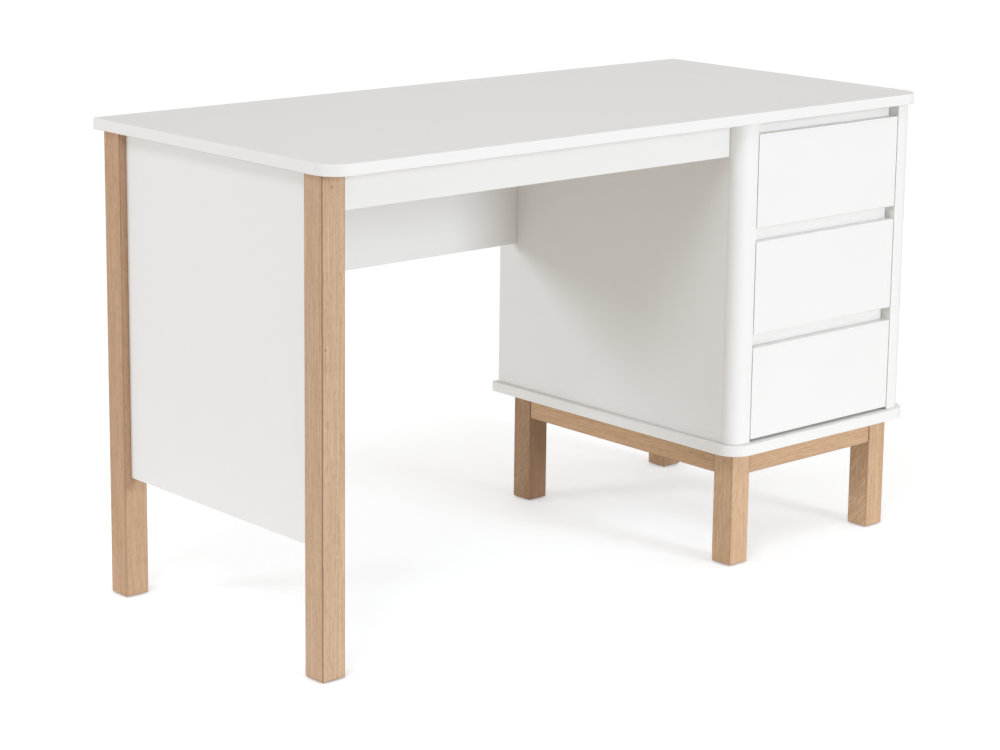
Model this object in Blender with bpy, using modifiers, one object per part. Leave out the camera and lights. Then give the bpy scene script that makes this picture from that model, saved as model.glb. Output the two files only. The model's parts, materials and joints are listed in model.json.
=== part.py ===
"""A writing desk with a three-drawer pedestal: a white top on two full-height oak legs at the left
and on a white drawer cabinet at the right, which stands on a low oak frame.

Sizes are in metres. They are written as X from the desktop's left edge, Y from its front edge and
Z from the floor. ORIGIN then moves everything so that the world's origin is on the floor under the
middle of the desktop, with the drawers facing -Y and the cabinet at +X.
"""

import math

import bmesh
import bpy
from mathutils import Vector

# Driving dimensions
WIDTH = 1.290
DEPTH = 0.600
HEIGHT = 0.770
BOARD = 0.018  # thickness of the lacquered boards
LEG = 0.042  # side of every square oak leg
GAP = 0.0003  # left between pieces that touch
ORIGIN = Vector((-WIDTH / 2, -DEPTH / 2, 0))

# Desktop
TOP_UNDERSIDE = HEIGHT - BOARD
TOP_RADIUS = 0.040  # front corners, in plan
TOP_REAR_RADIUS = 0.005

# Left end: two legs with a board between them
GLIDE_HEIGHT = 0.002
GLIDE_RADIUS = 0.012
GLIDE_STEPS = 24
LEG_BOTTOM = GLIDE_HEIGHT + GAP
LEG_LEFT_X = 0.008
LEG_FRONT_Y = 0.030
LEG_REAR_Y = 0.538
END_PANEL_X = 0.020
PANEL_BOTTOM = 0.198

# Boards between the left end and the cabinet
APRON_Y = 0.0385
APRON_HEIGHT = 0.056
MODESTY_Y = 0.5475
MODESTY_HEIGHT = 0.276

# Cabinet shell, on its bottom board
PLINTH_WIDTH = 0.450
PLINTH_X = WIDTH - PLINTH_WIDTH
PLINTH_Z = 0.198
SHELL_INSET = 0.010  # from the bottom board's edge to the cabinet's outer face
FRONT_Y = 0.012  # plane of the posts and the drawer fronts
SHELL_REAR_Y = 0.592
BACK_THICKNESS = 0.010
POST_WIDTH = 0.040
POST_DEPTH = 0.026  # of its outer face, in front of the side board
POST_TONGUE_Y = 0.072  # how far back the post's inner half goes
POST_RADIUS = 0.024
UPRIGHT_Y = 0.440
UPRIGHT_DEPTH = 0.040
REAR_RAIL = (0.020, 0.050)  # thickness and height

# Oak frame under the cabinet
BASE_INSET = 0.030
BASE_REAR_Y = 0.528
BASE_RAIL_HEIGHT = 0.042
BASE_RAIL_THICKNESS = 0.020
BASE_RAIL_SETBACK = 0.001

# Drawers, counted from the lowest
DRAWER_NAMES = ("lower", "middle", "top")
FRONT_HEIGHT = 0.155
FINGER_GAP = 0.023
FRONT_RAISE = 0.005  # from the bottom board to the lowest front
FRONT_REVEAL = 0.002
FRONT_CHAMFER = 0.004  # on the top rear edge, for the fingers
GRIP_RAIL_Y = 0.032
GRIP_RAIL_LAP = 0.007  # how far a rail reaches behind the fronts above and below it
BOX_RAISE = 0.013  # from the front's lower edge to the box's
BOX_HEIGHT = 0.120
BOX_WALL = 0.012
BOX_REAR_Y = 0.498
BOTTOM_RAISE = 0.010
BOTTOM_THICKNESS = 0.005
GROOVE_HEIGHT = 0.0056
GROOVE_DEPTH = 0.0053

# Drawer runners: a fixed channel with a narrower one sliding inside it
RUNNER_SPACE = 0.013
RUNNER_HEIGHT = 0.045
RUNNER_METAL = 0.0015
RUNNER_FLANGE = 0.0095
RUNNER_BALL_ROOM = 0.002
RUNNER_LENGTH = 0.450
FIXED_RUNNER_Y = 0.040
MOVING_RUNNER_Y = 0.031

# Edges and curves
ARC_STEPS = 12  # straight steps in a quarter circle
EASE = 0.0015  # rounding of a board's edges
FINE_EASE = 0.0006
EASE_STEPS = 2
EASE_ANGLE = math.radians(40)  # an edge sharper than this is rounded
SMOOTH_ANGLE = math.radians(30)
FLAT_ANGLE = math.radians(1)  # faces closer in direction than this are joined into one
WELD_DISTANCE = 0.00001

# Colour, roughness and metallic value of each material
FINISHES = {
    "white_lacquer": ((0.86, 0.86, 0.85), 0.38, 0.0),
    "oak": ((0.62, 0.44, 0.29), 0.55, 0.0),
    "birch_ply": ((0.76, 0.63, 0.46), 0.55, 0.0),
    "zinc_steel": ((0.62, 0.63, 0.65), 0.32, 1.0),
    "glide_plastic": ((0.80, 0.79, 0.76), 0.50, 0.0),
}

# Places worked out from the dimensions above
SHELL_LEFT = PLINTH_X + SHELL_INSET
SHELL_RIGHT = WIDTH - SHELL_INSET
SHELL_BOTTOM = PLINTH_Z + BOARD + GAP
SHELL_TOP = TOP_UNDERSIDE - GAP
OPENING_LEFT = SHELL_LEFT + POST_WIDTH
OPENING_RIGHT = SHELL_RIGHT - POST_WIDTH
SIDE_BOARD_Y = FRONT_Y + POST_DEPTH + GAP
DRAWER_PITCH = FRONT_HEIGHT + FINGER_GAP
LOWEST_FRONT_Z = PLINTH_Z + BOARD + FRONT_RAISE


def clear_scene():
    for existing in list(bpy.data.objects):
        bpy.data.objects.remove(existing, do_unlink=True)


def make_material(name):
    color, roughness, metallic = FINISHES[name]
    material = bpy.data.materials.new(name)
    material.use_nodes = True
    shader = material.node_tree.nodes["Principled BSDF"]
    shader.inputs["Base Color"].default_value = (*color, 1.0)
    shader.inputs["Roughness"].default_value = roughness
    shader.inputs["Metallic"].default_value = metallic
    return material


def add_bevel(piece, width):
    bevel = piece.modifiers.new("eased_edges", "BEVEL")
    bevel.width = width
    bevel.segments = EASE_STEPS
    bevel.limit_method = "ANGLE"
    bevel.angle_limit = EASE_ANGLE


def place(piece, center, parent=None):
    """Puts a piece in the desk's collection, with its origin at center, which is in desk coordinates."""
    piece.location = Vector(center) + ORIGIN
    if parent:
        piece.location -= parent.location
        piece.parent = parent
    desk.objects.link(piece)
    return piece


def board(name, low, high, finish, parent=None, ease=EASE):
    """A straight piece of rectangular section between two corners."""
    low, high = Vector(low), Vector(high)
    cage = bmesh.new()
    bmesh.ops.create_cube(cage, size=1.0)
    bmesh.ops.scale(cage, vec=high - low, verts=cage.verts)
    mesh = bpy.data.meshes.new(name)
    cage.to_mesh(mesh)
    cage.free()
    mesh.materials.append(materials[finish])
    piece = bpy.data.objects.new(name, mesh)
    add_bevel(piece, ease)
    return place(piece, (low + high) / 2, parent)


def corner(center, radius, start_degrees):
    """A quarter circle of points, anticlockwise from start_degrees."""
    angles = [math.radians(start_degrees + 90 * step / ARC_STEPS) for step in range(ARC_STEPS + 1)]
    return [(center[0] + radius * math.cos(a), center[1] + radius * math.sin(a)) for a in angles]


def section(name, outline, thickness, center, rotation, finish, parent=None, ease=EASE):
    """A flat outline, drawn about center in the piece's own XY plane and given a thickness along its Z."""
    curve = bpy.data.curves.new(name, "CURVE")
    curve.dimensions = "2D"
    curve.fill_mode = "BOTH"
    curve.extrude = thickness / 2
    spline = curve.splines.new("POLY")
    spline.points.add(len(outline) - 1)
    for point, (u, v) in zip(spline.points, outline):
        point.co = (u, v, 0, 1)
    spline.use_cyclic_u = True
    curve.materials.append(materials[finish])
    piece = bpy.data.objects.new(name, curve)
    piece.rotation_euler = rotation
    weld = piece.modifiers.new("join_caps", "WELD")
    weld.merge_threshold = WELD_DISTANCE
    flatten = piece.modifiers.new("whole_caps", "DECIMATE")
    flatten.decimate_type = "DISSOLVE"
    flatten.angle_limit = FLAT_ANGLE
    if ease:
        add_bevel(piece, ease)
    return place(piece, center, parent)


FLAT = (0, 0, 0)  # outline in X and Y, thickness along Z
ALONG_Y = (math.pi / 2, 0, 0)  # outline in X and Z, thickness along Y
ALONG_X = (math.pi / 2, 0, math.pi / 2)  # outline in Y and Z, thickness along X


def rounded_board(name, x_low, z_low, width):
    """A horizontal board of the desk's full depth, with rounded front corners."""
    half_x, half_y = width / 2, DEPTH / 2
    front_x, front_y = half_x - TOP_RADIUS, half_y - TOP_RADIUS
    rear_x, rear_y = half_x - TOP_REAR_RADIUS, half_y - TOP_REAR_RADIUS
    outline = corner((-front_x, -front_y), TOP_RADIUS, 180)
    outline += corner((front_x, -front_y), TOP_RADIUS, 270)
    outline += corner((rear_x, rear_y), TOP_REAR_RADIUS, 0)
    outline += corner((-rear_x, rear_y), TOP_REAR_RADIUS, 90)
    center = (x_low + half_x, half_y, z_low + BOARD / 2)
    return section(name, outline, BOARD, center, FLAT, "white_lacquer")


def leg(name, x, y, top):
    """A square leg with its left front corner at x, y, and the glide under it."""
    board(name, (x, y, LEG_BOTTOM), (x + LEG, y + LEG, top), "oak")
    cage = bmesh.new()
    radii = {"radius1": GLIDE_RADIUS, "radius2": GLIDE_RADIUS}
    bmesh.ops.create_cone(cage, cap_ends=True, segments=GLIDE_STEPS, depth=GLIDE_HEIGHT, **radii)
    mesh = bpy.data.meshes.new("glide_" + name)
    cage.to_mesh(mesh)
    cage.free()
    mesh.materials.append(materials["glide_plastic"])
    mesh.shade_smooth()
    mesh.set_sharp_from_angle(angle=SMOOTH_ANGLE)
    glide = bpy.data.objects.new("glide_" + name, mesh)
    place(glide, (x + LEG / 2, y + LEG / 2, GLIDE_HEIGHT / 2))


def left_end():
    leg("leg_front_left", LEG_LEFT_X, LEG_FRONT_Y, SHELL_TOP)
    leg("leg_rear_left", LEG_LEFT_X, LEG_REAR_Y, SHELL_TOP)
    low = (END_PANEL_X, LEG_FRONT_Y + LEG + GAP, PANEL_BOTTOM)
    high = (END_PANEL_X + BOARD, LEG_REAR_Y - GAP, SHELL_TOP)
    board("end_panel", low, high, "white_lacquer")


def cross_boards():
    """The apron under the desktop's front and the taller board at the back of the knee space."""
    left, right = LEG_LEFT_X + LEG + GAP, SHELL_LEFT - GAP
    sizes = {"front_apron": (APRON_Y, APRON_HEIGHT), "modesty_panel": (MODESTY_Y, MODESTY_HEIGHT)}
    for name, (y, height) in sizes.items():
        low = (left, y, TOP_UNDERSIDE - height)
        board(name, low, (right, y + BOARD, SHELL_TOP), "white_lacquer")


def post_outline(side):
    """Plan of a corner post about the middle of its width and of its outer face's depth.
    side is -1 at the left and 1 at the right."""
    half_width, half_depth = POST_WIDTH / 2, POST_DEPTH / 2
    inner_back = POST_TONGUE_Y - FRONT_Y - half_depth
    rebate = half_width - BOARD - GAP
    left = corner((-half_width + POST_RADIUS, -half_depth + POST_RADIUS), POST_RADIUS, 180)
    left += [(half_width, -half_depth), (half_width, inner_back), (-rebate, inner_back)]
    left += [(-rebate, half_depth), (-half_width, half_depth)]
    return left if side < 0 else [(-u, v) for u, v in reversed(left)]


def cabinet_sides():
    """Each side: a rounded corner post, the board behind it and the upright behind the runners."""
    middle_z = (SHELL_BOTTOM + SHELL_TOP) / 2
    for name, side, outer in (("left", -1, SHELL_LEFT), ("right", 1, SHELL_RIGHT)):
        post_x = outer - side * POST_WIDTH / 2
        center = (post_x, FRONT_Y + POST_DEPTH / 2, middle_z)
        height = SHELL_TOP - SHELL_BOTTOM
        post = post_outline(side)
        section("corner_post_" + name, post, height, center, FLAT, "white_lacquer", ease=FINE_EASE)
        inner = outer - side * BOARD
        low_x, high_x = sorted((outer, inner))
        low, high = (low_x, SIDE_BOARD_Y, SHELL_BOTTOM), (high_x, SHELL_REAR_Y, SHELL_TOP)
        board("cabinet_side_" + name, low, high, "white_lacquer", ease=FINE_EASE)
        low_x, high_x = sorted((inner - side * GAP, outer - side * POST_WIDTH))
        low, high = (low_x, UPRIGHT_Y, SHELL_BOTTOM), (high_x, UPRIGHT_Y + UPRIGHT_DEPTH, SHELL_TOP)
        board("runner_upright_" + name, low, high, "birch_ply", ease=FINE_EASE)


def cabinet_back():
    left, right = SHELL_LEFT + BOARD + GAP, SHELL_RIGHT - BOARD - GAP
    back_y = SHELL_REAR_Y - BACK_THICKNESS
    low, high = (left, back_y, SHELL_BOTTOM), (right, SHELL_REAR_Y, SHELL_TOP)
    board("cabinet_back", low, high, "white_lacquer", ease=FINE_EASE)
    thickness, height = REAR_RAIL
    low, high = (left, back_y - GAP - thickness, SHELL_TOP - height), (right, back_y - GAP, SHELL_TOP)
    board("rear_top_rail", low, high, "birch_ply", ease=FINE_EASE)


def grip_rails():
    """The set-back rail behind the finger gap above each drawer front."""
    for index, name in enumerate(DRAWER_NAMES):
        gap_bottom = LOWEST_FRONT_Z + index * DRAWER_PITCH + FRONT_HEIGHT
        top = min(gap_bottom + FINGER_GAP + GRIP_RAIL_LAP, SHELL_TOP)
        low = (OPENING_LEFT + GAP, GRIP_RAIL_Y, gap_bottom - GRIP_RAIL_LAP)
        high = (OPENING_RIGHT - GAP, GRIP_RAIL_Y + BOARD, top)
        board("grip_rail_" + name, low, high, "white_lacquer", ease=FINE_EASE)


def base_frame():
    top = PLINTH_Z - GAP
    left, right = PLINTH_X + BASE_INSET, WIDTH - BASE_INSET - LEG
    front, rear = BASE_INSET, BASE_REAR_Y
    for x_name, x in (("left", left), ("right", right)):
        for y_name, y in (("front", front), ("rear", rear)):
            leg(f"base_leg_{y_name}_{x_name}", x, y, top)
    bottom = PLINTH_Z - BASE_RAIL_HEIGHT
    between_x = (left + LEG + GAP, right - GAP)
    between_y = (front + LEG + GAP, rear - GAP)
    far_side = LEG - BASE_RAIL_SETBACK - BASE_RAIL_THICKNESS
    for name, y in (("front", front + BASE_RAIL_SETBACK), ("rear", rear + far_side)):
        low, high = (between_x[0], y, bottom), (between_x[1], y + BASE_RAIL_THICKNESS, top)
        board("base_rail_" + name, low, high, "oak")
    for name, x in (("left", left + BASE_RAIL_SETBACK), ("right", right + far_side)):
        low, high = (x, between_y[0], bottom), (x + BASE_RAIL_THICKNESS, between_y[1], top)
        board("base_rail_" + name, low, high, "oak")


def channel(web, flange, half_height, direction):
    """A channel section: its web's outer face at web, its flanges reaching towards direction."""
    inner, tip = web + direction * RUNNER_METAL, web + direction * flange
    low_in, high_in = -half_height + RUNNER_METAL, half_height - RUNNER_METAL
    outline = [(web, -half_height), (tip, -half_height), (tip, low_in), (inner, low_in)]
    outline += [(inner, high_in), (tip, high_in), (tip, half_height), (web, half_height)]
    return outline if direction > 0 else outline[::-1]


def runner(name, side, post_face, drawer_face, z, drawer):
    """The fixed and the sliding channel on one side of a drawer, both drawn about x = post_face."""
    half_height = RUNNER_HEIGHT / 2
    inner_half = half_height - RUNNER_METAL - RUNNER_BALL_ROOM
    fixed = channel(-side * GAP, RUNNER_FLANGE, half_height, -side)
    reach = abs(drawer_face - post_face) - GAP
    moving = channel(-side * reach, RUNNER_FLANGE, inner_half, side)
    fixed_center = (post_face, FIXED_RUNNER_Y + RUNNER_LENGTH / 2, z)
    moving_center = (post_face, MOVING_RUNNER_Y + RUNNER_LENGTH / 2, z)
    end = "left" if side < 0 else "right"
    section(f"runner_{name}_{end}", fixed, RUNNER_LENGTH, fixed_center, ALONG_Y, "zinc_steel", ease=0)
    moving_name = f"drawer_{name}_runner_{end}"
    section(moving_name, moving, RUNNER_LENGTH, moving_center, ALONG_Y, "zinc_steel", drawer, ease=0)


def front_outline():
    """Side view of a drawer front about its middle, with the finger chamfer on its top rear edge."""
    half_depth, half_height = BOARD / 2, FRONT_HEIGHT / 2
    return [
        (-half_depth, -half_height),
        (half_depth, -half_height),
        (half_depth, half_height - FRONT_CHAMFER),
        (half_depth - FRONT_CHAMFER, half_height),
        (-half_depth, half_height),
    ]


def side_outline(side):
    """End view of a drawer side about its middle, grooved on its inner face for the bottom."""
    half_wall, half_height = BOX_WALL / 2, BOX_HEIGHT / 2
    groove_low = -half_height + BOTTOM_RAISE
    groove_high = groove_low + GROOVE_HEIGHT
    groove_x = half_wall - GROOVE_DEPTH
    left = [(-half_wall, -half_height), (half_wall, -half_height)]
    left += [(half_wall, groove_low), (groove_x, groove_low)]
    left += [(groove_x, groove_high), (half_wall, groove_high)]
    left += [(half_wall, half_height), (-half_wall, half_height)]
    return left if side < 0 else [(-u, v) for u, v in reversed(left)]


def drawer_box(name, drawer, left, right, low_z):
    """The two sides, the back that stands on the bottom, and the bottom in its grooves."""
    front_y = FRONT_Y + BOARD + GAP
    length = BOX_REAR_Y - front_y
    for end, side, x in (("left", -1, left + BOX_WALL / 2), ("right", 1, right - BOX_WALL / 2)):
        center = (x, front_y + length / 2, low_z + BOX_HEIGHT / 2)
        side_name = f"drawer_{name}_side_{end}"
        section(side_name, side_outline(side), length, center, ALONG_Y, "birch_ply", drawer, FINE_EASE)
    bottom_z = low_z + BOTTOM_RAISE + GAP
    bottom_top = bottom_z + BOTTOM_THICKNESS
    reach = BOX_WALL - GROOVE_DEPTH + GAP
    low, high = (left + reach, front_y + GAP, bottom_z), (right - reach, BOX_REAR_Y, bottom_top)
    board(f"drawer_{name}_bottom", low, high, "birch_ply", drawer, FINE_EASE)
    inner = BOX_WALL + GAP
    low = (left + inner, BOX_REAR_Y - BOX_WALL, bottom_top + GAP)
    high = (right - inner, BOX_REAR_Y, low_z + BOX_HEIGHT)
    board(f"drawer_{name}_back", low, high, "birch_ply", drawer, FINE_EASE)


def drawer_unit(index, name):
    """One drawer. Everything that slides hangs on an empty at the middle of the front's lower edge."""
    front_z = LOWEST_FRONT_Z + index * DRAWER_PITCH
    middle_x = (OPENING_LEFT + OPENING_RIGHT) / 2
    drawer = bpy.data.objects.new(f"drawer_{name}_slide", None)
    place(drawer, (middle_x, FRONT_Y, front_z))
    width = OPENING_RIGHT - OPENING_LEFT - 2 * FRONT_REVEAL
    center = (middle_x, FRONT_Y + BOARD / 2, front_z + FRONT_HEIGHT / 2)
    front_name = f"drawer_{name}_front"
    section(front_name, front_outline(), width, center, ALONG_X, "white_lacquer", drawer, FINE_EASE)
    box_left, box_right = OPENING_LEFT + RUNNER_SPACE, OPENING_RIGHT - RUNNER_SPACE
    low_z = front_z + BOX_RAISE
    drawer_box(name, drawer, box_left, box_right, low_z)
    runner_z = low_z + BOX_HEIGHT / 2
    runner(name, -1, OPENING_LEFT, box_left, runner_z, drawer)
    runner(name, 1, OPENING_RIGHT, box_right, runner_z, drawer)


clear_scene()
materials = {name: make_material(name) for name in FINISHES}
desk = bpy.data.collections.new("writing_desk")
bpy.context.scene.collection.children.link(desk)
rounded_board("desktop", 0, TOP_UNDERSIDE, WIDTH)
left_end()
cross_boards()
rounded_board("plinth_board", PLINTH_X, PLINTH_Z, PLINTH_WIDTH)
cabinet_sides()
cabinet_back()
grip_rails()
base_frame()
for drawer_index, drawer_name in enumerate(DRAWER_NAMES):
    drawer_unit(drawer_index, drawer_name)
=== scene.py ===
"""Looks of the writing desk with drawers: pieces with fine rounded edges in the places of the CAD nodes,
small fittings, procedural materials, the studio and the camera.

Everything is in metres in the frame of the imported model. The origin is on the floor under the middle of
the desktop, the drawers face -Y and the cabinet is at +X.
"""

import json
import math

import bmesh
import bpy
from mathutils import Euler, Matrix, Vector

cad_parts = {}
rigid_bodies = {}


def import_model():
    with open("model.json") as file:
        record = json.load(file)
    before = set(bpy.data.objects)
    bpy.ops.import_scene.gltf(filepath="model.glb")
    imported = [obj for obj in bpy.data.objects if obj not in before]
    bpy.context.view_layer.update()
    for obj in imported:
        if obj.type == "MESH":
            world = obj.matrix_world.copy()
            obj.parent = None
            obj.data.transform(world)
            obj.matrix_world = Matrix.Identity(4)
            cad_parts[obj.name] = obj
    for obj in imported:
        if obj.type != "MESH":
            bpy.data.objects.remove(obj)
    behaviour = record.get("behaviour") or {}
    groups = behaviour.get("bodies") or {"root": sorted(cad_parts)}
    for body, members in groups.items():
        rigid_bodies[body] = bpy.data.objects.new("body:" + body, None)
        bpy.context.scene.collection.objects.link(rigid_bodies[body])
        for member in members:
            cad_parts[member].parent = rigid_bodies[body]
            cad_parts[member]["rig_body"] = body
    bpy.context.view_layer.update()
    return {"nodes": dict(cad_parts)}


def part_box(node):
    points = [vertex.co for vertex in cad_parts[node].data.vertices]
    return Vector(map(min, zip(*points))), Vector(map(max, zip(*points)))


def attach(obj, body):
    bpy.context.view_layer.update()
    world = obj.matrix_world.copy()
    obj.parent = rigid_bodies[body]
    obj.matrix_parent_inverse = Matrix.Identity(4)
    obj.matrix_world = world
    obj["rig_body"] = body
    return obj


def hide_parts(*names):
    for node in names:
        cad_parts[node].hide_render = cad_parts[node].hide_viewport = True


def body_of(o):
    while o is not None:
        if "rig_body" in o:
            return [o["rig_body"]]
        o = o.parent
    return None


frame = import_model()

# Camera, at the photograph's viewing angle
CAMERA_PLACE = (-2.8508, -3.1092, 1.3517)
CAMERA_HEADING = 0.7320  # radians clockwise from +Y
CAMERA_TILT = 0.1989  # radians below the horizon
CAMERA_ROLL = 0.0120
FOCAL_WIDTHS = 2.5993  # focal length in widths of the sensor
SENSOR_MM = 36
CAMERA_SHIFT = -0.11

# Studio
LIGHT_COLOR = (0.81, 0.89, 1.0)
AMBIENT_COLOR = (1.0, 0.95, 0.89)
AMBIENT = 0.57
LIGHT_AIM = Vector((0, 0, 0.4))
LIGHTS = {  # degrees to the right of the front, degrees above the aim, distance, width, height, watts
    "key_front": (10, 12, 9.0, 2.2, 3.0, 375),
    "left_front": (-60, 44, 8.0, 2.2, 2.2, 138),
    "left_rear": (-116, 12, 8.0, 2.0, 2.0, 178),
    "rear_right": (135, 40, 3.2, 1.8, 1.6, 6),
    "right": (60, 30, 3.2, 1.8, 1.6, 5),
}
GLARE_FREE = {"left_rear"}  # hidden from reflections, which would glare on the desktop seen from the right
FLOOR_RADIUS = 1.7
FLOOR_STEPS = 96
FLOOR_FADE = (0.8, 1.6)  # distances from the middle between which the floor melts into the backdrop
FLOOR_COLOR = (0.96, 0.95, 0.92)
FLOOR_GLOW = (0.29, 0.31, 0.34)  # seen by the camera alone, so that it adds no light of its own
BACKDROP_RADIUS = 30
BACKDROP_LEVELS = 3  # of the dome's subdivision

# Shapes, as in the CAD model
BOARD = 0.018  # thickness of the lacquered boards
GAP = 0.0003
BOARD_RADIUS = 0.040  # front corners of the desktop and the cabinet's bottom board, in plan
BOARD_REAR_RADIUS = 0.005
POST_RADIUS = 0.024
POST_FACE_DEPTH = 0.026  # of a corner post's outer face
FRONT_CHAMFER = 0.004  # on a drawer front's top rear edge
BOTTOM_RAISE = 0.010
GROOVE_HEIGHT = 0.0056
GROOVE_DEPTH = 0.0053
RUNNER_METAL = 0.0015
DRAWER_NAMES = ("lower", "middle", "top")
ENDS = (("left", -1), ("right", 1))  # of the cabinet, and the side of its middle that each is on

# Edges and curves
ARC_STEPS = 20  # in a quarter circle
EDGE_STEPS = 4
EDGE_ANGLE = math.radians(40)  # an edge sharper than this is rounded
SHARP_ANGLE = math.radians(35)
BOARD_EASE = 0.0015
FINE_EASE = 0.0008
OAK_EASE = 0.0015
METAL_EASE = 0.0005
GLIDE_EASE = 0.0004
GLIDE_STEPS = 48
GLIDE_FOOT = 0.94  # radius of a glide's underside, as a share of its top's
EDGE_LAYER = "rounded_edge"

# Materials. A noise is its scale, its detail and, where it isn't 0.5, its roughness. A span is the two
# values of a pattern between which a mark fades in. A stain is how much of its colour shows where its mark
# is full, and that colour. A bump is its strength and its height. ROUGH and HIGH say how much a pattern
# adds to the roughness and to the bump.
AXES = "XYZ"

LACQUER_TONES = ((0.852, 0.840, 0.812), (0.872, 0.858, 0.829))
LACQUER_RUBBED = (0.88, 0.86, 0.82)
LACQUER_CLOUD = (5.0, 3.0)
LACQUER_PEEL = (480.0, 2.0)
LACQUER_WEAR = (60.0, 4.0)
LACQUER_ROUGHNESS = 0.46
LACQUER_ROUGH_CLOUD = 0.08
LACQUER_ROUGH_RUBBED = -0.08
LACQUER_SPECULAR = 0.35
LACQUER_BUMP = (0.06, 0.0004)
RAIL_PAINTED_LIGHT = 1.07  # painted light: the rails in the finger gaps are painted lighter than the other boards, in place of the light that their shaded recesses lose

# An oak noise starts with the share of its scale that is left along the grain
OAK_TURNS = {  # from the grain's axis to Z
    "X": Euler((0, math.pi / 2, 0)),
    "Y": Euler((math.pi / 2, 0, 0)),
    "Z": Euler((0, 0, 0)),
}
OAK_RING = 0.0027  # width of a year's ring
OAK_EARLY_WOOD = 0.45  # share of a ring over which its early wood fades out
OAK_WARP = (0.05, 22.0, 3.0)
OAK_WARP_DEPTH = 0.010
OAK_FIBRE = (0.012, 620.0, 4.0, 0.65)
OAK_FIBRE_SPAN = (0.30, 0.70)
OAK_PORES = (0.045, 2100.0, 1.0)
OAK_PORE_SPAN = (0.56, 0.66)
OAK_PORES_LATE = 0.3  # share of the pores that late wood has
OAK_RAYS = (1300.0, 1.0)
OAK_RAY_SPAN = (0.62, 0.70)
OAK_RAY_SCALES = (0.16, 0.05, 0.14)  # around the tree's middle, away from it and along the grain
OAK_TONES = ((0.700, 0.495, 0.330), (0.560, 0.365, 0.220))
OAK_EARLY_STAIN = (0.22, (0.45, 0.28, 0.17))
OAK_FIGURE = (  # noise, span and stain of the streaks, the dashes and the broad clouds
    ((0.02, 300.0, 2.0), (0.35, 0.65), (0.42, (0.45, 0.27, 0.15))),
    ((0.09, 520.0, 2.0), (0.52, 0.64), (0.50, (0.40, 0.24, 0.14))),
    ((0.05, 16.0, 2.0), (0.3, 0.7), (0.25, (0.58, 0.385, 0.25))),
)
OAK_RAY_STAIN = (0.40, (0.72, 0.53, 0.38))
OAK_PORE_STAIN = (0.55, (0.30, 0.18, 0.10))
OAK_ROUGHNESS = 0.46
OAK_ROUGH_FIBRE = 0.16
OAK_ROUGH_RAYS = -0.10
OAK_ROUGH_PORES = 0.15
OAK_HIGH_FIBRE = 0.45
OAK_HIGH_PORES = -1.0
OAK_HIGH_EARLY = -0.25
OAK_BUMP = (0.35, 0.0003)
OAK_ARRIS = 0.45  # how far an oak edge has darkened
FRONT_LEG_ARRIS = 0.95
ARRIS_COLOR = (0.30, 0.17, 0.09)
KNOT_SPAN = (0.0012, 0.0032)  # distances from its middle between which a knot fades out
KNOT_DEPTH = 0.7
KNOT_WARP = 0.001
KNOT_COLOR = (0.17, 0.09, 0.05)
FLECK_TILT = Euler((math.radians(38), 0, 0))
FLECK_SCALE = (100, 1, 12)
FLECK_NOISE = (420.0, 1.0)
FLECK_SPAN = (0.54, 0.64)
FLECK_COLOR = (0.72, 0.54, 0.38)
SIDE_FACING = 0.7  # least share of a side face's direction that lies along X
FLECKS = {  # how strongly the slanting rays show on the side faces
    "base_leg_front_left": 0.15,
    "base_leg_front_right": 0.65,
    "base_leg_rear_left": 0.55,
    "base_leg_rear_right": 0.40,
}
OAK_CUTS = {  # axis of the grain, place of the tree's middle and slide along the grain, and tint, which is painted light and shade: lighter on the front pieces, darker on the rear ones under the cabinet
    "leg_front_left": ("Z", (0.14, -0.10, 0.3), (1.0, 1.0, 1.0)),
    "leg_rear_left": ("Z", (-0.11, -0.15, 1.7), (0.95, 0.89, 0.85)),
    "base_leg_front_left": ("Z", (0.09, -0.16, 2.9), (1.10, 1.07, 1.02)),
    "base_leg_front_right": ("Z", (-0.13, 0.12, 4.1), (1.06, 1.02, 0.96)),
    "base_leg_rear_left": ("Z", (0.03, -0.20, 5.3), (0.64, 0.57, 0.51)),
    "base_leg_rear_right": ("Z", (0.15, 0.11, 6.7), (0.80, 0.75, 0.70)),
    "base_rail_front": ("X", (-0.12, 0.10, 7.9), (1.06, 1.02, 0.95)),
    "base_rail_rear": ("X", (0.08, 0.15, 9.1), (0.95, 0.91, 0.86)),
    "base_rail_left": ("Y", (0.16, 0.06, 10.3), (1.03, 0.97, 0.88)),
    "base_rail_right": ("Y", (-0.10, 0.13, 11.9), (0.99, 0.95, 0.89)),
}
KNOTS = {  # places measured from a leg's front left edge, and heights above the floor
    "leg_front_left": ((0.018, 0.0, 0.734), (0.006, 0.0, 0.500)),
    "leg_rear_left": ((0.0, 0.036, 0.697),),
}

WALL_PLIES = 9
BOTTOM_PLIES = 3
UPRIGHT_PLIES = 13
PLY_MARGIN = 0.1  # share of a veneer that sanding took from each face
GLUE_SPAN = (0.42, 0.49)  # shares of a veneer's thickness from its middle
BIRCH_STRETCH = 0.03  # share of a pattern's scale that is left along the grain
BIRCH_FIGURE = (34.0, 4.0, 0.6)
BIRCH_FIGURE_SPAN = (0.3, 0.7)
BIRCH_FIBRE = (700.0, 2.0)
BIRCH_FLECK_SIZE = (0.032, 0.42)  # scales along and across the grain
BIRCH_FLECKS = (900.0, 2.0)
BIRCH_FLECK_SPAN = (0.66, 0.72)
BIRCH_TONES = ((0.80, 0.67, 0.49), (0.71, 0.565, 0.39))
BIRCH_FIBRE_STAIN = (0.3, (0.66, 0.51, 0.34))
BIRCH_FLECK_STAIN = (0.35, (0.50, 0.35, 0.21))
BIRCH_CROSSED_STAIN = (0.75, (0.50, 0.36, 0.23))
BIRCH_GLUE_STAIN = (0.6, (0.36, 0.25, 0.16))
BIRCH_ROUGHNESS = 0.42
BIRCH_ROUGH_FIBRE = 0.15
BIRCH_ROUGH_CROSSED = 0.2
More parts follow.
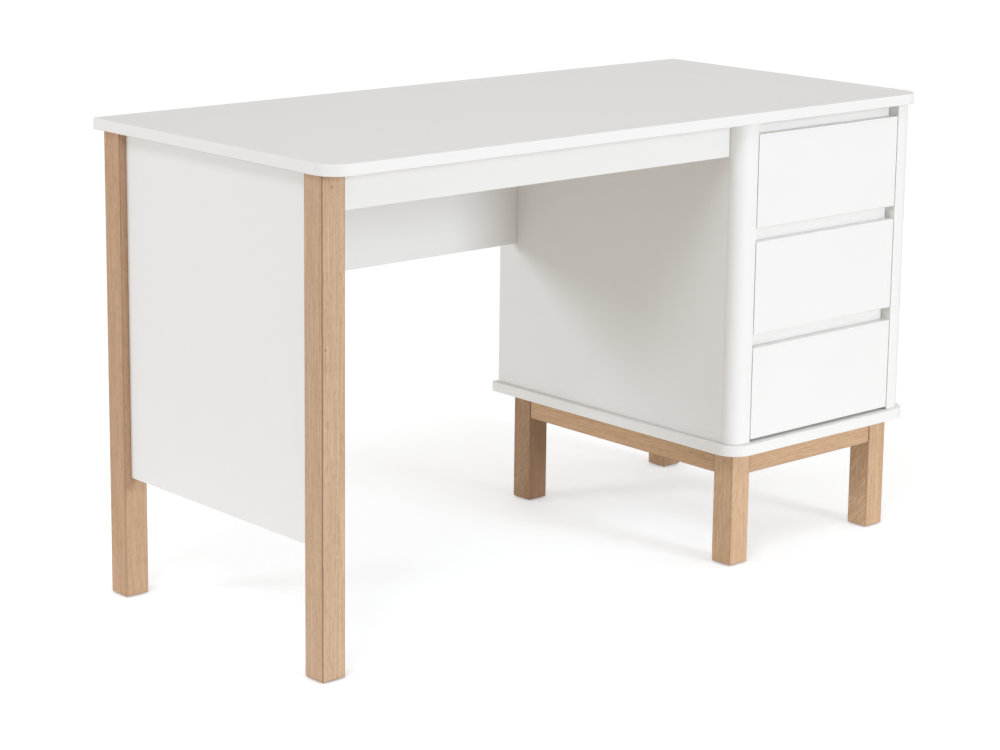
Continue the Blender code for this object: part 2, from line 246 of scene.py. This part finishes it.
BIRCH_HIGH_FIBRE = 0.5
BIRCH_HIGH_GLUE = -0.6
BIRCH_BUMP = (0.3, 0.0002)

ZINC_SPANGLE = 260.0
ZINC_LINES = (2400.0, 2.0)
ZINC_LINE_SCALES = (1, 0.02, 1)
ZINC_PATCHES = (30.0, 3.0)
ZINC_TONES = ((0.63, 0.63, 0.64), (0.67, 0.67, 0.68))
ZINC_PATCH_STAIN = (0.25, (0.55, 0.55, 0.56))
ZINC_ROUGHNESS = 0.20
ZINC_ROUGH_SPANGLE = 0.03
ZINC_ROUGH_PATCHES = 0.22
ZINC_BUMP = (0.12, 0.0001)
SHEET_PLATING = (1.0, 1.0, 1.0)
SCREW_PLATING = (0.50, 0.48, 0.44)  # darker than the runners

PLASTIC_GRIT = (1500.0, 3.0)
PLASTIC_CLOUD = (90.0, 2.0)
PLASTIC_TONES = ((0.78, 0.77, 0.73), (0.70, 0.69, 0.65))
PLASTIC_EDGE_STAIN = (0.3, (0.60, 0.58, 0.54))
PLASTIC_ROUGHNESS = 0.42
PLASTIC_ROUGH_GRIT = 0.2
PLASTIC_BUMP = (0.2, 0.0002)

# Screws
SCREW_STEPS = 24
SCREW_RIM = 0.4  # height of the head's upright rim, as a share of the head's
SCREW_CROWN = 0.86  # radius of the head's flat top, as a share of the head's
CROSS_REACH = 0.55  # of the head's radius
CROSS_ARM = 0.11
CROSS_FLOOR = 0.1  # of the head's height
SCREW_RADIUS = 0.0038
SCREW_HEIGHT = 0.0012
CAM_RADIUS = 0.0075
CAM_HEIGHT = 0.0004
FIXED_SCREWS_Y = (0.016, 0.420)  # distances from a channel's front end
SLIDING_SCREWS_Y = (0.040, 0.225, 0.410)
CAM_Y = 0.034  # from a drawer side's front end
CAM_LEVELS = (0.045, 0.095)  # above a drawer side's lower edge
BACK_SCREW_INSET = 0.012
BACK_SCREW_LEVELS = 5


# ---------------------------------------------------------------- camera and studio


def add_camera():
    data = bpy.data.cameras.new("camera")
    data.sensor_width = SENSOR_MM
    data.lens = FOCAL_WIDTHS * SENSOR_MM
    data.shift_y = CAMERA_SHIFT
    camera = bpy.data.objects.new("camera", data)
    turn = Matrix.Rotation(-CAMERA_HEADING, 4, "Z")
    turn @= Matrix.Rotation(math.pi / 2 - CAMERA_TILT, 4, "X")
    turn @= Matrix.Rotation(CAMERA_ROLL, 4, "Z")
    camera.matrix_world = Matrix.Translation(CAMERA_PLACE) @ turn
    bpy.context.scene.collection.objects.link(camera)
    bpy.context.scene.camera = camera


def add_light(name, azimuth, elevation, distance, width, height, watts):
    """A soft box that looks at LIGHT_AIM."""
    data = bpy.data.lights.new(name, "AREA")
    data.shape = "RECTANGLE"
    data.size = width
    data.size_y = height
    data.energy = watts
    data.color = LIGHT_COLOR
    light = bpy.data.objects.new(name, data)
    light.visible_camera = False
    light.visible_glossy = name not in GLARE_FREE
    turn = Matrix.Rotation(math.radians(azimuth), 4, "Z")
    turn @= Matrix.Rotation(math.radians(90 - elevation), 4, "X")
    light.matrix_world = Matrix.Translation(LIGHT_AIM) @ turn @ Matrix.Translation((0, 0, distance))
    bpy.context.scene.collection.objects.link(light)


def add_ambient():
    world = bpy.data.worlds.new("ambient")
    world.use_nodes = True
    background = world.node_tree.nodes["Background"]
    background.inputs["Color"].default_value = (*AMBIENT_COLOR, 1)
    background.inputs["Strength"].default_value = AMBIENT
    bpy.context.scene.world = world
    bpy.context.scene.view_settings.view_transform = "Standard"


def add_stage(name, cage, material):
    mesh = bpy.data.meshes.new(name)
    cage.to_mesh(mesh)
    cage.free()
    mesh.materials.append(material)
    piece = bpy.data.objects.new(name, mesh)
    bpy.context.scene.collection.objects.link(piece)
    return piece


def add_floor():
    """A pale floor that melts into the white backdrop some way from the desk."""
    material, tree, shader = new_material("floor")
    shader.inputs["Base Color"].default_value = (*FLOOR_COLOR, 1)
    shader.inputs["Roughness"].default_value = 1.0
    shader.inputs["Specular IOR Level"].default_value = 0.0
    shader.inputs["Emission Color"].default_value = (*FLOOR_GLOW, 1)
    seen = node(tree, "LightPath", {}).outputs["Is Camera Ray"]
    tree.links.new(seen, shader.inputs["Emission Strength"])
    distance = node(tree, "VectorMath", {0: place_of(tree)}, operation="LENGTH").outputs["Value"]
    tree.links.new(spread(tree, distance, FLOOR_FADE, 1.0, 0.0), shader.inputs["Alpha"])
    cage = bmesh.new()
    bmesh.ops.create_circle(cage, cap_ends=True, segments=FLOOR_STEPS, radius=FLOOR_RADIUS)
    add_stage("floor", cage, material)


def add_backdrop():
    """A white dome that only the camera sees, so that it adds no light of its own."""
    material, _, shader = new_material("backdrop")
    shader.inputs["Base Color"].default_value = (0, 0, 0, 1)
    shader.inputs["Emission Color"].default_value = (1, 1, 1, 1)
    shader.inputs["Emission Strength"].default_value = 1.0
    cage = bmesh.new()
    bmesh.ops.create_icosphere(cage, subdivisions=BACKDROP_LEVELS, radius=BACKDROP_RADIUS)
    dome = add_stage("backdrop", cage, material)
    dome.visible_diffuse = False
    dome.visible_glossy = False
    dome.visible_transmission = False
    dome.visible_shadow = False


# ---------------------------------------------------------------- nodes


def new_material(name):
    material = bpy.data.materials.new(name)
    material.use_nodes = True
    tree = material.node_tree
    return material, tree, tree.nodes["Principled BSDF"]


def node(tree, kind, inputs, **settings):
    """A new node. Each input, by name or number, is a value or the output socket that it is linked to."""
    made = tree.nodes.new("ShaderNode" + kind)
    for key, value in settings.items():
        setattr(made, key, value)
    for key, value in inputs.items():
        if isinstance(value, bpy.types.NodeSocket):
            tree.links.new(value, made.inputs[key])
        else:
            made.inputs[key].default_value = value
    return made


def place_of(tree):
    """Each point's place in the piece's own frame, so that a pattern moves with its piece."""
    return node(tree, "TexCoord", {}).outputs["Object"]


def calc(tree, operation, *values):
    inputs = dict(enumerate(values))
    return node(tree, "Math", inputs, operation=operation).outputs[0]


def total(tree, base, *parts):
    """base plus each pattern times its weight."""
    for pattern, weight in parts:
        base = calc(tree, "MULTIPLY_ADD", pattern, weight, base)
    return base


def stretched(tree, place, scale):
    return node(tree, "VectorMath", {0: place, 1: scale}, operation="MULTIPLY").outputs[0]


def noise(tree, place, scale, detail, roughness=0.5):
    inputs = {"Vector": place, "Scale": scale, "Detail": detail, "Roughness": roughness}
    return node(tree, "TexNoise", inputs).outputs[0]


def grain_noise(tree, place, along, scale, detail, roughness=0.5):
    """A noise drawn out along Z, where only the share along of its scale is left."""
    return noise(tree, stretched(tree, place, (1, 1, along)), scale, detail, roughness)


def spread(tree, value, span, to_low=0.0, to_high=1.0):
    """Maps the span smoothly to to_low..to_high, and holds it there beyond."""
    low, high = span
    inputs = {"Value": value, "From Min": low, "From Max": high, "To Min": to_low, "To Max": to_high}
    return node(tree, "MapRange", inputs, interpolation_type="SMOOTHSTEP").outputs[0]


def mixed(tree, factor, first, second, blend="MIX"):
    """A mix of two colours. Sockets 6 and 7 are the Mix node's colours, and output 2 is its result."""
    colors = {6: first, 7: second}
    for key, value in colors.items():
        if not isinstance(value, bpy.types.NodeSocket):
            colors[key] = (*value, 1)
    return node(tree, "Mix", {0: factor, **colors}, data_type="RGBA", blend_type=blend).outputs[2]


def stained(tree, tone, mark, share, color):
    """The tone with that share of a colour over it where the mark is 1."""
    return mixed(tree, calc(tree, "MULTIPLY", mark, share), tone, color)


def edge_mark(tree):
    """1 on the rounded edges that round_edges() marked, and 0 elsewhere."""
    return node(tree, "Attribute", {}, attribute_name=EDGE_LAYER).outputs["Fac"]


def add_bump(tree, shader, height, strength, distance):
    bump = node(tree, "Bump", {"Height": height, "Strength": strength, "Distance": distance})
    tree.links.new(bump.outputs[0], shader.inputs["Normal"])


# ---------------------------------------------------------------- materials


def white_lacquer(name, painted_light_gain):
    """Sprayed satin lacquer: faint orange peel, slightly uneven in tone and gloss, rubbed at the edges.
    Its second argument is how much lighter it is painted than the desk's other boards: painted light, which
    stands in for the light that the grip rails' shaded recesses lose."""
    material, tree, shader = new_material(name)
    place = place_of(tree)
    cloud = noise(tree, place, *LACQUER_CLOUD)
    peel = noise(tree, place, *LACQUER_PEEL)
    rubbed = calc(tree, "MULTIPLY", edge_mark(tree), noise(tree, place, *LACQUER_WEAR))
    tone = mixed(tree, cloud, *LACQUER_TONES)
    tone = mixed(tree, rubbed, tone, LACQUER_RUBBED)
    # painted light: the tone is made lighter by the second argument, for the rails in their shaded recesses
    tone = mixed(tree, 1.0, tone, (painted_light_gain, painted_light_gain, painted_light_gain), "MULTIPLY")
    tree.links.new(tone, shader.inputs["Base Color"])
    parts = ((cloud, LACQUER_ROUGH_CLOUD), (rubbed, LACQUER_ROUGH_RUBBED))
    tree.links.new(total(tree, LACQUER_ROUGHNESS, *parts), shader.inputs["Roughness"])
    shader.inputs["Specular IOR Level"].default_value = LACQUER_SPECULAR
    add_bump(tree, shader, peel, *LACQUER_BUMP)
    return material


def knotted(tree, tone, knots, fibre):
    """The tone with pin knots whose outline is a little ragged."""
    for knot in knots:
        away = node(tree, "VectorMath", {0: place_of(tree), 1: knot}, operation="DISTANCE").outputs["Value"]
        away = total(tree, away, (fibre, KNOT_WARP))
        tone = mixed(tree, spread(tree, away, KNOT_SPAN, KNOT_DEPTH, 0.0), tone, KNOT_COLOR)
    return tone


def oak_rays(tree, place, radius):
    """The thin sheets that run outwards from the tree's middle, which show as short lines."""
    parts = node(tree, "SeparateXYZ", {0: place})
    around = calc(tree, "ARCTAN2", parts.outputs[1], parts.outputs[0])
    sources = (around, radius, parts.outputs[2])
    inputs = {i: calc(tree, "MULTIPLY", sources[i], OAK_RAY_SCALES[i]) for i in range(3)}
    ray_place = node(tree, "CombineXYZ", inputs).outputs[0]
    return spread(tree, noise(tree, ray_place, *OAK_RAYS), OAK_RAY_SPAN)


def side_flecks(tree, place):
    """Slanting rays on the two faces that look along X."""
    inputs = {"Vector": place, "Rotation": FLECK_TILT, "Scale": FLECK_SCALE}
    tilted = node(tree, "Mapping", inputs, vector_type="TEXTURE").outputs[0]
    facing = node(tree, "SeparateXYZ", {0: node(tree, "TexCoord", {}).outputs["Normal"]}).outputs[0]
    sideways = calc(tree, "GREATER_THAN", calc(tree, "ABSOLUTE", facing), SIDE_FACING)
    flecks = spread(tree, noise(tree, tilted, *FLECK_NOISE), FLECK_SPAN)
    return calc(tree, "MULTIPLY", flecks, sideways)


def oak(name, center, cut, knots, arris, flecked):
    """Clear-oiled oak. cut is a row of OAK_CUTS: the axis that the grain runs along; the place of the
    tree's middle seen from the piece's center, across the grain, whose third number slides the pattern
    along it; and a tint, painted light and shade that makes the front pieces lighter and the rear ones
    darker. knots are the places of pin knots, arris how dark the edges are, and flecked how strong the
    slanting rays on the two side faces."""
    grain, pith, tint = cut
    material, tree, shader = new_material(name)
    turn = OAK_TURNS[grain]
    shift = -(turn.to_matrix() @ center) - Vector(pith)
    inputs = {"Vector": place_of(tree), "Location": shift, "Rotation": turn}
    place = node(tree, "Mapping", inputs).outputs[0]

    across = stretched(tree, place, (1, 1, 0))
    radius = node(tree, "VectorMath", {0: across}, operation="LENGTH").outputs["Value"]
    radius = total(tree, radius, (grain_noise(tree, place, *OAK_WARP), OAK_WARP_DEPTH))
    ring = calc(tree, "FRACT", calc(tree, "DIVIDE", radius, OAK_RING))
    early = spread(tree, ring, (0.0, OAK_EARLY_WOOD), 1.0, 0.0)
    fibre = grain_noise(tree, place, *OAK_FIBRE)
    pores = spread(tree, grain_noise(tree, place, *OAK_PORES), OAK_PORE_SPAN)
    pores = calc(tree, "MULTIPLY", pores, total(tree, OAK_PORES_LATE, (early, 1 - OAK_PORES_LATE)))
    rays = oak_rays(tree, place, radius)

    tone = mixed(tree, spread(tree, fibre, OAK_FIBRE_SPAN), *OAK_TONES)
    tone = stained(tree, tone, early, *OAK_EARLY_STAIN)
    for pattern, span, stain in OAK_FIGURE:
        tone = stained(tree, tone, spread(tree, grain_noise(tree, place, *pattern), span), *stain)
    tone = stained(tree, tone, rays, *OAK_RAY_STAIN)
    tone = stained(tree, tone, pores, *OAK_PORE_STAIN)
    tone = knotted(tree, tone, knots, fibre)
    tone = stained(tree, tone, side_flecks(tree, place), flecked, FLECK_COLOR)
    # painted light and shade: the tint lightens the front pieces and darkens the rear ones
    tone = mixed(tree, 1.0, tone, tint, "MULTIPLY")
    tone = stained(tree, tone, edge_mark(tree), arris, ARRIS_COLOR)
    tree.links.new(tone, shader.inputs["Base Color"])
    parts = ((fibre, OAK_ROUGH_FIBRE), (rays, OAK_ROUGH_RAYS), (pores, OAK_ROUGH_PORES))
    tree.links.new(total(tree, OAK_ROUGHNESS, *parts), shader.inputs["Roughness"])
    parts = ((fibre, OAK_HIGH_FIBRE), (pores, OAK_HIGH_PORES), (early, OAK_HIGH_EARLY))
    add_bump(tree, shader, total(tree, 0.0, *parts), *OAK_BUMP)
    return material


def birch_ply(name, corners, plies, across, grain):
    """Birch plywood: an odd number of veneers stacked along the axis across, which fill the space between
    the two corners. grain is the outer veneers' direction."""
    material, tree, shader = new_material(name)
    place = place_of(tree)
    low, high = (corner[AXES.index(across)] for corner in corners)
    depth = node(tree, "SeparateXYZ", {0: place}).outputs[AXES.index(across)]
    slope = (plies - 2 * PLY_MARGIN) / (high - low)
    depth = total(tree, PLY_MARGIN, (calc(tree, "SUBTRACT", depth, low), slope))
    crossed = calc(tree, "GREATER_THAN", calc(tree, "FRACT", calc(tree, "MULTIPLY", depth, 0.5)), 0.5)
    from_middle = calc(tree, "ABSOLUTE", calc(tree, "SUBTRACT", calc(tree, "FRACT", depth), 0.5))
    glue = spread(tree, from_middle, GLUE_SPAN)

    along = stretched(tree, place, [BIRCH_STRETCH if axis == grain else 1.0 for axis in AXES])
    figure = noise(tree, along, *BIRCH_FIGURE)
    fibre = noise(tree, along, *BIRCH_FIBRE)
    lengthwise, crosswise = BIRCH_FLECK_SIZE
    short = stretched(tree, place, [lengthwise if axis == grain else crosswise for axis in AXES])
    flecks = spread(tree, noise(tree, short, *BIRCH_FLECKS), BIRCH_FLECK_SPAN)
    tone = mixed(tree, spread(tree, figure, BIRCH_FIGURE_SPAN), *BIRCH_TONES)
    tone = stained(tree, tone, fibre, *BIRCH_FIBRE_STAIN)
    tone = stained(tree, tone, flecks, *BIRCH_FLECK_STAIN)
    tone = stained(tree, tone, crossed, *BIRCH_CROSSED_STAIN)
    tone = stained(tree, tone, glue, *BIRCH_GLUE_STAIN)
    tree.links.new(tone, shader.inputs["Base Color"])
    parts = ((fibre, BIRCH_ROUGH_FIBRE), (crossed, BIRCH_ROUGH_CROSSED))
    tree.links.new(total(tree, BIRCH_ROUGHNESS, *parts), shader.inputs["Roughness"])
    parts = ((fibre, BIRCH_HIGH_FIBRE), (glue, BIRCH_HIGH_GLUE))
    add_bump(tree, shader, total(tree, 0.0, *parts), *BIRCH_BUMP)
    return material


def zinc_steel(name, plating):
    """Zinc-plated sheet steel: a faint spangle, fine drawing lines and dull patches. plating is its tint."""
    material, tree, shader = new_material(name)
    place = place_of(tree)
    spangle = node(tree, "TexVoronoi", {"Vector": place, "Scale": ZINC_SPANGLE}).outputs["Color"]
    shade = node(tree, "SeparateXYZ", {0: spangle}).outputs[0]
    lines = noise(tree, stretched(tree, place, ZINC_LINE_SCALES), *ZINC_LINES)
    patches = noise(tree, place, *ZINC_PATCHES)
    tone = mixed(tree, shade, *ZINC_TONES)
    tone = stained(tree, tone, patches, *ZINC_PATCH_STAIN)
    tone = mixed(tree, 1.0, tone, plating, "MULTIPLY")
    tree.links.new(tone, shader.inputs["Base Color"])
    shader.inputs["Metallic"].default_value = 1.0
    parts = ((shade, ZINC_ROUGH_SPANGLE), (patches, ZINC_ROUGH_PATCHES))
    tree.links.new(total(tree, ZINC_ROUGHNESS, *parts), shader.inputs["Roughness"])
    add_bump(tree, shader, lines, *ZINC_BUMP)
    return material


def glide_plastic():
    """Pale moulded plastic with a fine spark-eroded texture and rubbed edges."""
    material, tree, shader = new_material("glide_plastic")
    place = place_of(tree)
    grit = noise(tree, place, *PLASTIC_GRIT)
    tone = mixed(tree, noise(tree, place, *PLASTIC_CLOUD), *PLASTIC_TONES)
    tone = stained(tree, tone, edge_mark(tree), *PLASTIC_EDGE_STAIN)
    tree.links.new(tone, shader.inputs["Base Color"])
    tree.links.new(total(tree, PLASTIC_ROUGHNESS, (grit, PLASTIC_ROUGH_GRIT)), shader.inputs["Roughness"])
    add_bump(tree, shader, grit, *PLASTIC_BUMP)
    return material


# ---------------------------------------------------------------- meshes


def box_cage(low, high):
    cage = bmesh.new()
    bmesh.ops.create_cube(cage, size=1.0)
    bmesh.ops.scale(cage, vec=high - low, verts=cage.verts)
    bmesh.ops.translate(cage, vec=(low + high) / 2, verts=cage.verts)
    return cage


def prism_cage(outline, axis, low, high):
    """An outline in the other two axes, in their XYZ order, extruded along axis."""
    cage = bmesh.new()
    order = {"X": (2, 0, 1), "Y": (0, 2, 1), "Z": (0, 1, 2)}[axis]
    ends = []
    for along in (low, high):
        points = [(u, v, along) for u, v in outline]
        ends.append([cage.verts.new([point[i] for i in order]) for point in points])
    cage.faces.new(ends[0])
    cage.faces.new(ends[1])
    for i in range(len(outline)):
        cage.faces.new((ends[0][i - 1], ends[0][i], ends[1][i], ends[1][i - 1]))
    bmesh.ops.recalc_face_normals(cage, faces=cage.faces)
    return cage


def arc(center, radius, start_degrees):
    """A quarter circle of points, anticlockwise from start_degrees."""
    angles = [math.radians(start_degrees + 90 * step / ARC_STEPS) for step in range(ARC_STEPS + 1)]
    return [(center[0] + radius * math.cos(a), center[1] + radius * math.sin(a)) for a in angles]


def at_end(outline, side, low, high):
    """An outline drawn about its middle for the left end, mirrored at the right and put in its place."""
    turned = outline if side < 0 else [(-u, v) for u, v in reversed(outline)]
    middle = (low.x + high.x) / 2
    return [(u + middle, v) for u, v in turned]


def round_edges(cage, radius):
    """Rounds the cage's sharp edges and marks the new faces for the materials."""
    mark = cage.faces.layers.float.new(EDGE_LAYER)
    sharp = [edge for edge in cage.edges if edge.calc_face_angle(0) > EDGE_ANGLE]
    shape = {"offset": radius, "segments": EDGE_STEPS, "profile": 0.5}
    made = bmesh.ops.bevel(cage, geom=sharp, affect="EDGES", clamp_overlap=False, **shape)
    for face in made["faces"]:
        face[mark] = 1.0
    return cage


def eased_box(node_name, radius):
    return round_edges(box_cage(*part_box(node_name)), radius)


def piece_from(cage, name, material, body):
    """The piece that a cage describes, with smooth shading that leaves its flat faces flat."""
    mesh = bpy.data.meshes.new(name)
    cage.to_mesh(mesh)
    cage.free()
    mesh.materials.append(material)
    mesh.shade_smooth()
    mesh.set_sharp_from_angle(angle=SHARP_ANGLE)
    piece = bpy.data.objects.new(name, mesh)
    bpy.context.scene.collection.objects.link(piece)
    weighted = piece.modifiers.new("flat_faces", "WEIGHTED_NORMAL")
    weighted.keep_sharp = True
    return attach(piece, body)


def stand_for(node_name, cage, material):
    """A finished piece that is shown instead of a CAD node and rides on its body."""
    body = body_of(frame["nodes"][node_name])[0]
    piece = piece_from(cage, node_name + "_finished", material, body)
    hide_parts(node_name)


# ---------------------------------------------------------------- lacquered boards


def straight_boards(lacquer):
    names = ["end_panel", "front_apron", "modesty_panel", "cabinet_back"]
    names += ["cabinet_side_left", "cabinet_side_right"]
    for name in names:
        eased = FINE_EASE if name.startswith("cabinet") else BOARD_EASE
        stand_for(name, eased_box(name, eased), lacquer)


def grip_rails(lacquer):
    for drawer in DRAWER_NAMES:
        name = "grip_rail_" + drawer
        stand_for(name, eased_box(name, FINE_EASE), lacquer)


def rounded_boards(lacquer):
    """The desktop and the cabinet's bottom board."""
    for name in ("desktop", "plinth_board"):
        low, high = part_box(name)
        front, rear = BOARD_RADIUS, BOARD_REAR_RADIUS
        outline = arc((low.x + front, low.y + front), front, 180)
        outline += arc((high.x - front, low.y + front), front, 270)
        outline += arc((high.x - rear, high.y - rear), rear, 0)
        outline += arc((low.x + rear, high.y - rear), rear, 90)
        cage = round_edges(prism_cage(outline, "Z", low.z, high.z), BOARD_EASE)
        stand_for(name, cage, lacquer)


def corner_posts(lacquer):
    """Posts with one round front corner, and a rebate behind it that holds the side board."""
    for end, side in ENDS:
        name = "corner_post_" + end
        low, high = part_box(name)
        half = (high.x - low.x) / 2
        shoulder = low.y + POST_FACE_DEPTH
        tongue = -half + BOARD + GAP
        outline = arc((-half + POST_RADIUS, low.y + POST_RADIUS), POST_RADIUS, 180)
        outline += [(half, low.y), (half, high.y), (tongue, high.y), (tongue, shoulder), (-half, shoulder)]
        outline = at_end(outline, side, low, high)
        cage = round_edges(prism_cage(outline, "Z", low.z, high.z), FINE_EASE)
        stand_for(name, cage, lacquer)


def drawer_fronts(lacquer):
    for drawer in DRAWER_NAMES:
        name = f"drawer_{drawer}_front"
        low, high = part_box(name)
        outline = [(low.y, low.z), (high.y, low.z), (high.y, high.z - FRONT_CHAMFER)]
        outline += [(high.y - FRONT_CHAMFER, high.z), (low.y, high.z)]
        cage = round_edges(prism_cage(outline, "X", low.x, high.x), FINE_EASE)
        stand_for(name, cage, lacquer)


# ---------------------------------------------------------------- oak and glides


def oak_pieces():
    """Legs and rails, each cut from its own place in the tree."""
    for name, cut in OAK_CUTS.items():
        low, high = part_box(name)
        knots = [Vector((low.x, low.y, 0)) + Vector(knot) for knot in KNOTS.get(name, ())]
        arris = FRONT_LEG_ARRIS if name == "leg_front_left" else OAK_ARRIS
        material = oak("oak_" + name, (low + high) / 2, cut, knots, arris, FLECKS.get(name, 0.0))
        stand_for(name, eased_box(name, OAK_EASE), material)


def leg_glides(plastic):
    for name in frame["nodes"]:
        if name.startswith("glide_"):
            low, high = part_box(name)
            radius = (high.x - low.x) / 2
            shape = {"segments": GLIDE_STEPS, "radius1": radius * GLIDE_FOOT, "radius2": radius}
            place = Matrix.Translation((low + high) / 2)
            cage = bmesh.new()
            bmesh.ops.create_cone(cage, cap_ends=True, depth=high.z - low.z, matrix=place, **shape)
            stand_for(name, round_edges(cage, GLIDE_EASE), plastic)


# ---------------------------------------------------------------- drawer boxes and runners


def plywood_board(name, plies, across, grain):
    material = birch_ply("birch_" + name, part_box(name), plies, across, grain)
    stand_for(name, eased_box(name, FINE_EASE), material)


def drawer_side(name, side):
    """A side of a drawer's box, grooved on its inner face for the bottom."""
    low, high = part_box(name)
    half = (high.x - low.x) / 2
    groove = low.z + BOTTOM_RAISE
    inner = half - GROOVE_DEPTH
    outline = [(-half, low.z), (half, low.z), (half, groove), (inner, groove)]
    outline += [(inner, groove + GROOVE_HEIGHT), (half, groove + GROOVE_HEIGHT)]
    outline += [(half, high.z), (-half, high.z)]
    outline = at_end(outline, side, low, high)
    cage = round_edges(prism_cage(outline, "Y", low.y, high.y), FINE_EASE)
    material = birch_ply("birch_" + name, (low, high), WALL_PLIES, "X", "Y")
    stand_for(name, cage, material)


def drawer_boxes():
    for drawer in DRAWER_NAMES:
        for end, side in ENDS:
            drawer_side(f"drawer_{drawer}_side_{end}", side)
        plywood_board(f"drawer_{drawer}_back", WALL_PLIES, "Y", "X")
        plywood_board(f"drawer_{drawer}_bottom", BOTTOM_PLIES, "Z", "X")


def inner_timber():
    """The uprights behind the runners and the rail under the desktop, in thick plywood."""
    for end, _ in ENDS:
        plywood_board("runner_upright_" + end, UPRIGHT_PLIES, "Y", "Z")
    plywood_board("rear_top_rail", UPRIGHT_PLIES, "Y", "X")


def channel_cage(low, high, opens):
    """A channel along Y. opens is 1 if its flanges reach towards +X."""
    metal = RUNNER_METAL
    web, tip = (low.x, high.x) if opens > 0 else (high.x, low.x)
    inner = web + opens * metal
    outline = [(web, low.z), (tip, low.z), (tip, low.z + metal), (inner, low.z + metal)]
    outline += [(inner, high.z - metal), (tip, high.z - metal), (tip, high.z), (web, high.z)]
    return prism_cage(outline, "Y", low.y, high.y)


def runners(steel):
    for drawer in DRAWER_NAMES:
        for end, side in ENDS:
            for name, opens in ((f"runner_{drawer}_{end}", -side), (f"drawer_{drawer}_runner_{end}", side)):
                cage = round_edges(channel_cage(*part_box(name), opens), METAL_EASE)
                stand_for(name, cage, steel)


# ---------------------------------------------------------------- screws


def add_screw(cage, place, facing, radius, height):
    """A low head with a cross recess, its underside at place."""
    turn = Vector(facing).to_track_quat("Z", "Y").to_matrix().to_4x4()
    seat = Matrix.Translation(place) @ turn

    def ring(size, level):
        angles = [2 * math.pi * step / SCREW_STEPS for step in range(SCREW_STEPS)]
        points = [(size * math.cos(a), size * math.sin(a), level) for a in angles]
        return [cage.verts.new(seat @ Vector(point)) for point in points]

    def cross(level):
        reach, arm = CROSS_REACH * radius, CROSS_ARM * radius
        quarter = [Vector((reach, -arm)), Vector((reach, arm)), Vector((arm, arm))]
        turns = [Matrix.Rotation(math.pi / 2 * step, 2) for step in range(4)]
        points = [turn_by @ point for turn_by in turns for point in quarter]
        return [cage.verts.new(seat @ Vector((*point, level))) for point in points]

    def walls(first, second):
        for i in range(len(first)):
            cage.faces.new((first[i - 1], first[i], second[i], second[i - 1]))

    base, rim, crown = ring(radius, 0), ring(radius, height * SCREW_RIM), ring(radius * SCREW_CROWN, height)
    mouth, floor = cross(height), cross(height * CROSS_FLOOR)
    cage.faces.new(base[::-1])
    walls(base, rim)
    walls(rim, crown)
    walls(floor, mouth)
    cage.faces.new(floor)
    borders = [cage.edges.get((loop[i - 1], loop[i])) for loop in (crown, mouth) for i in range(len(loop))]
    bmesh.ops.triangle_fill(cage, edges=borders, use_beauty=True)


def screw_set(name, body, places, facing, steel, radius=SCREW_RADIUS, height=SCREW_HEIGHT):
    cage = bmesh.new()
    for place in places:
        add_screw(cage, place, facing, radius, height)
    bmesh.ops.recalc_face_normals(cage, faces=cage.faces)
    piece_from(cage, name, steel, body)


def runner_screws(steel):
    """Screws in the webs of both channels of every runner."""
    for drawer in DRAWER_NAMES:
        for end, side in ENDS:
            low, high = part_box(f"runner_{drawer}_{end}")
            middle = (low.z + high.z) / 2
            web = low.x + RUNNER_METAL if side < 0 else high.x - RUNNER_METAL
            places = [(web, low.y + reach, middle) for reach in FIXED_SCREWS_Y]
            screw_set(f"runner_screws_{drawer}_{end}", "desk", places, (-side, 0, 0), steel)
            low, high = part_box(f"drawer_{drawer}_runner_{end}")
            web = high.x - RUNNER_METAL if side < 0 else low.x + RUNNER_METAL
            places = [(web, low.y + reach, middle) for reach in SLIDING_SCREWS_Y]
            name = f"drawer_{drawer}_runner_screws_{end}"
            screw_set(name, "drawer_" + drawer, places, (side, 0, 0), steel)


def cam_fittings(steel):
    """The cams that hold each drawer front, two in the inner face of each drawer side."""
    for drawer in DRAWER_NAMES:
        for end, side in ENDS:
            low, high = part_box(f"drawer_{drawer}_side_{end}")
            face = high.x if side < 0 else low.x
            places = [(face, low.y + CAM_Y, low.z + level) for level in CAM_LEVELS]
            name = f"drawer_{drawer}_cams_{end}"
            screw_set(name, "drawer_" + drawer, places, (-side, 0, 0), steel, CAM_RADIUS, CAM_HEIGHT)


def back_screws(steel):
    """Two columns of screws that hold the cabinet's back, just inside the carcass boards."""
    low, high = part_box("cabinet_back")
    inset = BACK_SCREW_INSET
    rise = (high.z - low.z - 2 * inset) / (BACK_SCREW_LEVELS - 1)
    heights = [low.z + inset + rise * level for level in range(BACK_SCREW_LEVELS)]
    places = [(x, high.y, z) for x in (low.x + inset, high.x - inset) for z in heights]
    screw_set("cabinet_back_screws", "desk", places, (0, 1, 0), steel)


add_camera()
add_ambient()
add_floor()
add_backdrop()
for light_name, light_setup in LIGHTS.items():
    add_light(light_name, *light_setup)

satin_lacquer = white_lacquer("satin_lacquer", 1.0)
sheet_steel = zinc_steel("sheet_steel", SHEET_PLATING)
screw_steel = zinc_steel("screw_steel", SCREW_PLATING)
straight_boards(satin_lacquer)
# painted light: the grip rails get a lighter lacquer in place of the light that their recesses lose
grip_rails(white_lacquer("rail_lacquer_painted_light", RAIL_PAINTED_LIGHT))
rounded_boards(satin_lacquer)
corner_posts(satin_lacquer)
drawer_fronts(satin_lacquer)
oak_pieces()
leg_glides(glide_plastic())
drawer_boxes()
inner_timber()
runners(sheet_steel)
runner_screws(screw_steel)
cam_fittings(screw_steel)
back_screws(screw_steel)
